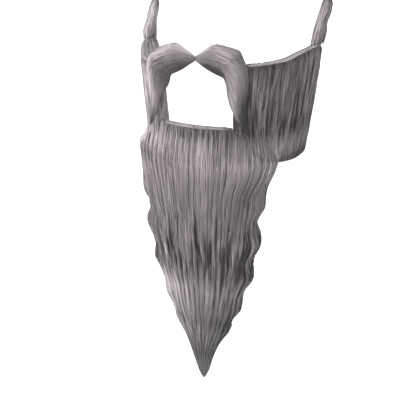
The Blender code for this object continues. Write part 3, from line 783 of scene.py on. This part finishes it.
SEAM_ROOTS = {"Middle U": 0.25, "Flat U": 0.103, "Seam Slope": 0.60}  # roots begin along the cheeks' seams
UPPER = {**SEAM_ROOTS, "Over Seam": 0.022, "Waves": 5.0}
FRONT = {"Points": 9, "From U": -0.03, "To U": 0.53, "Root Spread": 0.18, "Tip Spread": 0.26, "Waves": 5.0}
TIP_STRANDS = {"Wave": 0.003, "Waves": 5.0, "Width": 0.0012}
BACK = {"Points": 9, "From U": 0.5, "To U": 1.0, "Pinch": 0.5, "Wave": 0.003, "Waves": 5.0}
BEARD_LAYERS = {
    "beard_upper_hair": (
        {**UPPER, "Strands": 1500, "Points": 10, "Locks": 62, "From U": -0.02, "To U": 0.52, "Root": -0.002,
         "Root Spread": 0.09, "Tip": 0.24, "Tip Spread": 0.26, "Pinch": 0.25, "Wave": 0.0016,
         "Width": 0.0014, "Relief": 0.0008, "Lift": 0.0010, "Tuck": 0.0002},
        {**UPPER, "Strands": 1300, "Points": 9, "Locks": 74, "From U": -0.04, "To U": 0.54, "Root": 0.02,
         "Root Spread": 0.22, "Tip": 0.18, "Tip Spread": 0.28, "Pinch": 0.3, "Wave": 0.0018, "Waves": 5.5,
         "Width": 0.0012, "Relief": 0.0010, "Lift": 0.0016},
    ),
    "beard_lower_hair": (
        {**FRONT, "Strands": 1400, "Locks": 46, "Root": 0.28, "Tip": 0.48, "Pinch": 0.4, "Wave": 0.0022,
         "Width": 0.0014, "Relief": 0.0012, "Lift": 0.0012},
        {**FRONT, "Strands": 1000, "Locks": 34, "Root": 0.46, "Tip": 0.68, "Pinch": 0.45, "Wave": 0.0024,
         "Width": 0.0013, "Relief": 0.0010, "Lift": 0.0009},
        {**TIP_STRANDS, "Strands": 600, "Points": 9, "Locks": 16, "Root": 0.66, "Root Spread": 0.18,
         "Tip": 0.90, "Tip Spread": 0.10, "Pinch": 0.4, "Relief": 0.0008, "Lift": 0.0005},
        {**TIP_STRANDS, "Strands": 90, "Points": 7, "Locks": 8, "Root": 0.74, "Root Spread": 0.14,
         "Tip": 0.985, "Tip Spread": 0.015, "Pinch": 0.3, "Relief": 0.0003, "Lift": 0.0003},
    ),
    "beard_back_hair": (
        {**BACK, "Strands": 800, "Locks": 44, "Root": 0.10, "Root Spread": 0.16, "Tip": 0.36,
         "Tip Spread": 0.2, "Width": 0.0020, "Relief": 0.0018, "Lift": 0.0010},
        {**BACK, "Strands": 700, "Locks": 36, "Root": 0.32, "Root Spread": 0.16, "Tip": 0.60,
         "Tip Spread": 0.2, "Width": 0.0018, "Relief": 0.0014, "Lift": 0.0008},
        {**BACK, "Strands": 450, "Locks": 30, "Root": 0.54, "Root Spread": 0.14, "Tip": 0.80,
         "Tip Spread": 0.14, "Wave": 0.004, "Width": 0.0015, "Relief": 0.0010, "Lift": 0.0006},
        {**BACK, **SEAM_ROOTS, "Middle U": 0.75, "Strands": 500, "Points": 6, "Locks": 60, "Root": -0.004,
         "Root Spread": 0.06, "Tip": 0.07, "Tip Spread": 0.06, "Pinch": 0.4, "Wave": 0.0006,
         "Width": 0.0015, "Relief": 0.0004, "Lift": 0.0003, "Tuck": 0.0004},
    ),
}
for name, layers in BEARD_LAYERS.items():
    comb(name, beard_guide, beard_hair, layers, "chin_beard")

# Cheek panels: short dark grey hair brushed down over a stiff wall, from the mouth opening back to the ear.
# The strands part along the panel's top edge, cover both faces and hang a little past the lower edge.
CHEEK_EDGE = table(
    "run top bottom",
    (30.9, 63.2, 20.1), (56.0, 64.0, -0.4), (75.0, 64.8, -16.0), (92.0, 68.4, -19.6),
    (110.0, 70.8, -23.0), (136.0, 70.8, -29.2), (142.5, 48.0, -30.6), (146.2, 20.0, -31.4),
)
# Painted highlight across the lower cheek near the seam, fading out along the cheek by the slope column;
# above it the hair is dark grey.
CHEEK_TONES = (
    (-31.0, 0.40, 0.6, 0.5), (-22.0, 0.52, 0.5, 0.6), (-12.0, 1.47, 0.4, 1.6), (-2.0, 1.43, 0.4, 1.55),
    (6.0, 0.96, 0.5, 1.0), (14.0, 0.34, 0.8, 0.2), (24.0, 0.04, 0.9, -0.3), (58.0, 0.02, 0.9, -0.3),
    (71.0, 0.0, 0.9, -0.3),
)
# Painted light: the cheek on the wearer's right, towards the key light, is painted paler than the other.
CHEEK_PAINTED_LIGHT = {"left_cheek": -0.02, "right_cheek": 0.30}
CHEEK_RING = 80
CHEEK_ROWS = 40
SEAM_OVERLAP = 5.0
OVERLAP_START = (6.0, 16.0)  # past the mouth opening's side, over which the hair comes to overlap the seam
OVERLAP_SWELL = 1.2
OVERLAP_SETTLE = 0.6  # how much of the swell has gone where the lower edge is free
FREE_START = (-3.0, 5.0)  # past the seam's end, over which the lower edge comes free
THIN_START = 0.9  # of the way down, from where the free edge thins
THIN_SHARE = 0.75
CHEEK_GROW = {"guide": -0.5, "bed": -1.2}
END_CLEAR = (0.6, 0.4)  # of the hair from the wall's two ends
END_ROUND = 0.02  # of each face's length, where the ring thins towards its end
TOP_ROUND = 30  # the top edge is rounded over one part in this many of the height
TOP_CLEAR = 0.3
FRINGE = 1.6  # below the lower edge


def cheek_edge(run, column):
    """The height of the panel's top or bottom edge at a run along the jaw."""
    for low, high in zip(CHEEK_EDGE, CHEEK_EDGE[1:]):
        if run <= high["run"]:
            share = (run - low["run"]) / (high["run"] - low["run"])
            return low[column] + (high[column] - low[column]) * share
    return CHEEK_EDGE[-1][column]


def cheek_loop(side, share, grow, over_seam):
    """One ring round the panel: its outer face from the mouth to the ear, then back over the inner face.

    Over the seam the outer hair runs on past it, on top of the beard's. The free lower edge is thinner.
    """
    loop = []
    first, last = MOUTH_RUN + END_CLEAR[0], CHEEK_EDGE[-1]["run"] - END_CLEAR[1]
    opened = math.sqrt(max(0.0, 1 - (1 - min(1.0, share * TOP_ROUND)) ** 2))
    for i in range(CHEEK_RING + 1):
        turn = (i % CHEEK_RING) / CHEEK_RING
        outside = turn < 0.5
        on_face = turn * 2 if outside else 2 - turn * 2
        spread = min(1.0, max(0.0, (on_face - END_ROUND) / (1 - 2 * END_ROUND)))
        run = first + (last - first) * spread
        top = cheek_edge(run, "top")
        bottom = cheek_edge(run, "bottom") - FRINGE
        free = smooth(SEAM_END_RUN + FREE_START[0], SEAM_END_RUN + FREE_START[1], run)
        edge = min(1.0, min(on_face, 1 - on_face) / END_ROUND)
        if outside and over_seam:
            started = smooth(MOUTH_RUN + OVERLAP_START[0], MOUTH_RUN + OVERLAP_START[1], run)
            bottom -= SEAM_OVERLAP * started * (1 - free)
        height = top - TOP_CLEAR + (bottom - top) * share
        thinned = THIN_SHARE * smooth(THIN_START, 1.0, share) * free
        half = (WALL / 2 + grow) * opened * edge * (1 - thinned)
        out = half - WALL / 2
        if outside and over_seam:
            risen = OVERLAP_SWELL * smooth(SEAM_RISE[0], 0.0, seam_below(run, height))
            out += (collar_swell(run, height, True) + risen) * (1 - OVERLAP_SETTLE * free)
        if not outside:
            out = -WALL / 2 - half
        loop.append(on_jaw(side * run, height, out))
    return loop


RIM_START = MOUTH_RUN + 1.0
RIM_RUN = 105.5
CHEEK_STRANDS = {"Pinch": 0.3, "Wave": 0.0014, "Waves": 1.4, "Width": 0.0013}
CHEEK_LAYERS = (
    {**CHEEK_STRANDS, "Strands": 800, "Points": 7, "Locks": 110, "Root": -0.02, "Root Spread": 0.06,
     "Tip": 0.3, "Tip Spread": 0.4, "Relief": 0.0006, "Tuck": 0.0},
    {**CHEEK_STRANDS, "Strands": 900, "Points": 8, "Locks": 52, "Root": 0.1, "Root Spread": 0.42,
     "Tip": 0.6, "Tip Spread": 0.38, "Pinch": 0.5, "Wave": 0.0026, "Relief": 0.0010},
    {**CHEEK_STRANDS, "Strands": 800, "Points": 7, "Locks": 90, "Root": 0.5, "Root Spread": 0.28,
     "Tip": 0.88, "Tip Spread": 0.12, "Pinch": 0.35, "Relief": 0.0010, "Lift": 0.0006},
    {**CHEEK_STRANDS, "Strands": 400, "Points": 6, "Locks": 90, "Root": 0.66, "Root Spread": 0.2,
     "Tip": 0.98, "Tip Spread": 0.02, "Relief": 0.0008, "Lift": 0.0004},
)
# Painted shade: the bed under the cheeks and sideburns is dark where shade shows between the strands.
shaded_matted_dark = matted_finish("matted_dark_hair", "#4A4648", "#242122")
for cheek, side in (("left_cheek", 1.0), ("right_cheek", -1.0)):
    tones = [(height, tone + CHEEK_PAINTED_LIGHT[cheek], *rest) for height, tone, *rest in CHEEK_TONES]
    # Dark grey with broad streaks, with a painted highlight down at the seam, where the shoulder catches the
    # light.
    cheek_hair = hair_finish(
        f"{cheek}_grey_hair", HAIR_COLOURS, "height", tones, streak_width=1.8, mirrored=True
    )
    shares = [0.0, 0.002, 0.006, 0.012, 0.02, 0.03] + list(np.linspace(0.05, 1.0, CHEEK_ROWS))
    rings = [cheek_loop(side, share, CHEEK_GROW["guide"], True) for share in shares]
    guide = guide_surface(f"{cheek}_guide", rings)
    rings = [cheek_loop(side, share, CHEEK_GROW["bed"], False) for share in shares[1:]]
    bed(f"{cheek}_bed", rings, shaded_matted_dark, cheek)
    runs = [RIM_START + RIM_RUN * k / 40 for k in range(41)]
    rim = rim_guide(f"{cheek}_rim_guide", [(side * run, cheek_edge(run, "top")) for run in runs])
    comb(f"{cheek}_rim_hair", rim, rim_hair, RIM_LAYERS, cheek)
    comb(f"{cheek}_strands", guide, cheek_hair, CHEEK_LAYERS, cheek)

# Sideburns: slim strips of lighter hair that stand on the cheek panels and lean back in front of the ear.
# They are sewn to a narrow tab whose flat inner face takes wig tape.
SIDEBURN = table(
    "height front rear thick",
    (71.2, 63.5, 88.0, 6.0), (78.0, 67.5, 88.5, 6.8), (85.0, 75.5, 88.5, 6.0),
    (92.0, 84.0, 94.0, 7.2), (98.0, 89.0, 98.0, 6.6), (103.0, 92.5, 99.5, 5.0),
)
SIDEBURN_INNER_X = 71.0  # of the inner plane at its lower front corner
SIDEBURN_FLARE = 0.16  # how the plane turns outwards to the rear
SIDEBURN_TILT = -0.07  # and inwards on the way up
SIDEBURN_SQUARENESS = 0.6
SIDEBURN_GROW = {"guide": -0.3, "bed": -1.0}
SIDEBURN_RING = 32
SIDEBURN_SPAN = (103.0, 69.5)  # of the hair, whose tips reach just over the cheek panel's edge
SIDEBURN_TONES = (
    (0.0, 0.28, 0.6, 0.1), (0.25, 0.32, 0.6, 0.1), (0.38, 0.40, 0.6, 0.1), (0.46, 0.60, 0.5, 0.1),
    (0.56, 0.63, 0.5, 0.1), (0.66, 0.48, 0.6, 0.1), (0.8, 0.38, 0.6, 0.1), (1.0, 0.28, 0.6, 0.1),
)
SIDEBURN_FADES = ((0.3, 0.0, -0.15),)


def squared(value):
    """A sine or cosine filled out, which makes an oval squarer."""
    return math.copysign(abs(value) ** SIDEBURN_SQUARENESS, value)


def sideburn_loop(side, height, grow):
    row = {c: between(SIDEBURN, "height", height, c) for c in ("front", "rear", "thick")}
    half_depth = (row["rear"] - row["front"]) / 2 + grow
    half_thick = row["thick"] / 2 + grow
    rise = height - SIDEBURN[0]["height"]
    loop = []
    for i in range(SIDEBURN_RING + 1):
        turn = 2 * math.pi * (i % SIDEBURN_RING) / SIDEBURN_RING
        y = (row["front"] + row["rear"]) / 2 + half_depth * squared(math.cos(turn))
        inner = SIDEBURN_INNER_X + SIDEBURN_FLARE * (y - SIDEBURN[0]["front"]) + SIDEBURN_TILT * rise
        x = inner + row["thick"] / 2 + half_thick * squared(math.sin(turn))
        loop.append(Vector((side * x, y, height)))
    return loop


SIDEBURN_STRANDS = {
    "Locks": 16, "Pinch": 0.3, "Wave": 0.006, "Waves": 1.4,
    "Width": 0.0015, "Relief": 0.0006, "Lift": 0.0005,
}
SIDEBURN_LAYERS = (
    {**SIDEBURN_STRANDS, "Strands": 180, "Points": 8, "Root": 0.0, "Root Spread": 0.3, "Tip": 0.75,
     "Tip Spread": 0.25},
    {**SIDEBURN_STRANDS, "Strands": 140, "Points": 7, "Root": 0.4, "Root Spread": 0.25, "Tip": 0.97,
     "Tip Spread": 0.03},
)
# Pale grey, with a painted highlight along the front of each strip and painted shade round its sides and
# back.
sideburn_hair = hair_finish("pale_sideburn_hair", HAIR_COLOURS, "around", SIDEBURN_TONES, SIDEBURN_FADES)
for sideburn, side in (("left_sideburn", 1.0), ("right_sideburn", -1.0)):
    heights = list(np.linspace(*SIDEBURN_SPAN, 24))
    rings = [sideburn_loop(side, h, SIDEBURN_GROW["guide"]) for h in heights]
    guide = guide_surface(f"{sideburn}_guide", rings)
    rings = [sideburn_loop(side, h, SIDEBURN_GROW["bed"]) for h in heights[1:-1]]
    bed(f"{sideburn}_bed", rings, shaded_matted_dark, sideburn)
    comb(f"{sideburn}_strands", guide, sideburn_hair, SIDEBURN_LAYERS, sideburn)

# Moustache: light grey hair knotted over the lip and brushed outwards and down along two tapering horns.
# The strands follow each horn from the pinch in the middle, over its peak, to its point beside the mouth.
MOUSTACHE = table(
    "in_x in_z out_x out_z front crest",
    (0.0, 64.6, 0.0, 67.9, 3.0, 0.2), (7.6, 60.4, 7.4, 72.0, 7.5, 0.35),
    (13.8, 57.2, 14.3, 75.2, 10.5, 0.35), (19.0, 55.0, 22.8, 73.6, 12.0, 0.3),
    (20.6, 54.0, 31.0, 71.0, 11.5, 0.15), (21.9, 51.3, 36.4, 64.4, 9.5, 0.05),
    (23.4, 47.5, 38.0, 57.0, 8.6, -0.05), (25.3, 43.5, 38.5, 48.6, 7.8, -0.1),
    (28.5, 36.1, 38.2, 38.5, 6.6, -0.1), (31.2, 30.4, 37.9, 31.6, 5.6, -0.1),
    (35.0, 24.2, 39.5, 24.9, 4.2, 0.0), (39.4, 17.7, 41.9, 18.7, 2.6, 0.0),
    (44.2, 10.9, 44.4, 11.0, 0.4, 0.0),
)
MOUSTACHE_CLEAR = 1.6  # over the cheek hair that it lies on
MOUSTACHE_BACK = 7.0  # how far it reaches behind the jaw line in the notch and above the cheeks
MOUSTACHE_ROUND = 0.4  # of its back
MOUSTACHE_CROWN = 1.1  # above 1 the front rises gently from its edges to the crest
NOTCH_EDGE = (23.0, 27.0)  # from the middle, over which the horn comes to lie on the cheek hair
CHEEK_TOP = (68.0, 71.6)  # heights over which it passes above that hair
HORN_RING = 40
HORN_GROW = {"guide": -0.5, "bed": -1.4}
MOUSTACHE_TONES = (
    (0.0, 0.04, 0.3, 0.2), (0.15, 0.06, 0.3, 0.2), (0.25, 0.12, 0.3, 0.2), (0.32, 0.20, 0.3, 0.2),
    (0.38, 0.32, 0.3, 0.2), (0.45, 0.52, 0.3, 0.15), (0.50, 0.62, 0.3, 0.15), (0.55, 0.55, 0.3, 0.15),
    (0.62, 0.40, 0.3, 0.2), (0.70, 0.26, 0.3, 0.2), (0.90, 0.12, 0.3, 0.2), (1.50, 0.0, 0.3, 0.2),
)
MOUSTACHE_FADES = ((0.15, 0.0, 0.3), (0.55, 1.0, -0.4))


def jaw_depth(x):
    """The depth of the backing's outer face at a distance from the middle, found by halving."""
    low, high = 0.0, 120.0
    for _ in range(30):
        middle = (low + high) / 2
        if on_jaw(middle, 0.0, 0.0).x < abs(x):
            low = middle
        else:
            high = middle
    return on_jaw(low, 0.0, 0.0).y


def moustache_level(x, z):
    """The depth of a horn's back: over the cheek hair, and further in where nothing lies behind it."""
    room = max(1.0 - smooth(*NOTCH_EDGE, x), smooth(*CHEEK_TOP, z))
    return jaw_depth(x) - MOUSTACHE_CLEAR + (MOUSTACHE_CLEAR + MOUSTACHE_BACK) * room


def moustache_loop(side, share, grow):
    """One ring round a horn, its crowned front first and its flat back after."""
    rows = [{**row, "step": i} for i, row in enumerate(MOUSTACHE)]
    at = share * (len(rows) - 1)
    row = {c: between(rows, "step", at, c) for c in ("in_x", "in_z", "out_x", "out_z", "front", "crest")}
    loop = []
    for i in range(HORN_RING + 1):
        turn = 2 * math.pi * (i % HORN_RING) / HORN_RING
        across, behind = -math.cos(turn), math.sin(turn) < 0
        reach = 1 + row["crest"] if across < row["crest"] else 1 - row["crest"]
        crown = max(0.0, 1 - ((across - row["crest"]) / reach) ** 2) ** MOUSTACHE_CROWN
        x = row["in_x"] + (row["out_x"] - row["in_x"]) * (across + 1) / 2
        z = row["in_z"] + (row["out_z"] - row["in_z"]) * (across + 1) / 2
        level = moustache_level(x, z)
        y = level + MOUSTACHE_ROUND * crown if behind else level - row["front"] * crown
        loop.append(Vector((side * x, y, z)))
    middle = sum(loop[:-1], Vector()) / HORN_RING
    return [p + (p - middle).normalized() * grow if (p - middle).length > 1e-6 else p for p in loop]


HORN_STRANDS = {
    "Points": 9, "Pinch": 0.15, "Wave": 0.003, "Waves": 1.5,
    "Width": 0.0013, "Relief": 0.0003, "Lift": 0.0003,
}
HORN_LAYERS = (
    {**HORN_STRANDS, "Strands": 420, "Locks": 40, "Root": -0.01, "Root Spread": 0.12, "Tip": 0.48,
     "Tip Spread": 0.2, "Relief": 0.0002, "Tuck": 0.0},
    {**HORN_STRANDS, "Strands": 420, "Locks": 36, "Root": 0.2, "Root Spread": 0.25, "Tip": 0.72,
     "Tip Spread": 0.24, "Lift": 0.0004},
    {**HORN_STRANDS, "Strands": 280, "Locks": 24, "Root": 0.5, "Root Spread": 0.2, "Tip": 0.97,
     "Tip Spread": 0.03, "Pinch": 0.2, "Width": 0.0011},
)
# Light grey, with a painted highlight along each horn's crest that moves round on the way down, painted shade
# on its underside, and darker to its point.
moustache_hair = hair_finish(
    "light_grey_moustache_hair", HAIR_COLOURS, "around", MOUSTACHE_TONES, MOUSTACHE_FADES, skew=0.5
)
for horn, side in (("moustache_left", 1.0), ("moustache_right", -1.0)):
    shares = list(np.linspace(0.0, 0.995, 60))
    rings = [moustache_loop(side, share, HORN_GROW["guide"]) for share in shares]
    guide = guide_surface(f"{horn}_guide", rings)
    rings = [moustache_loop(side, share, HORN_GROW["bed"]) for share in shares[:-6]]
    bed(f"{horn}_bed", rings, shaded_matted_grey, "moustache")
    comb(f"{horn}_strands", guide, moustache_hair, HORN_LAYERS, "moustache")
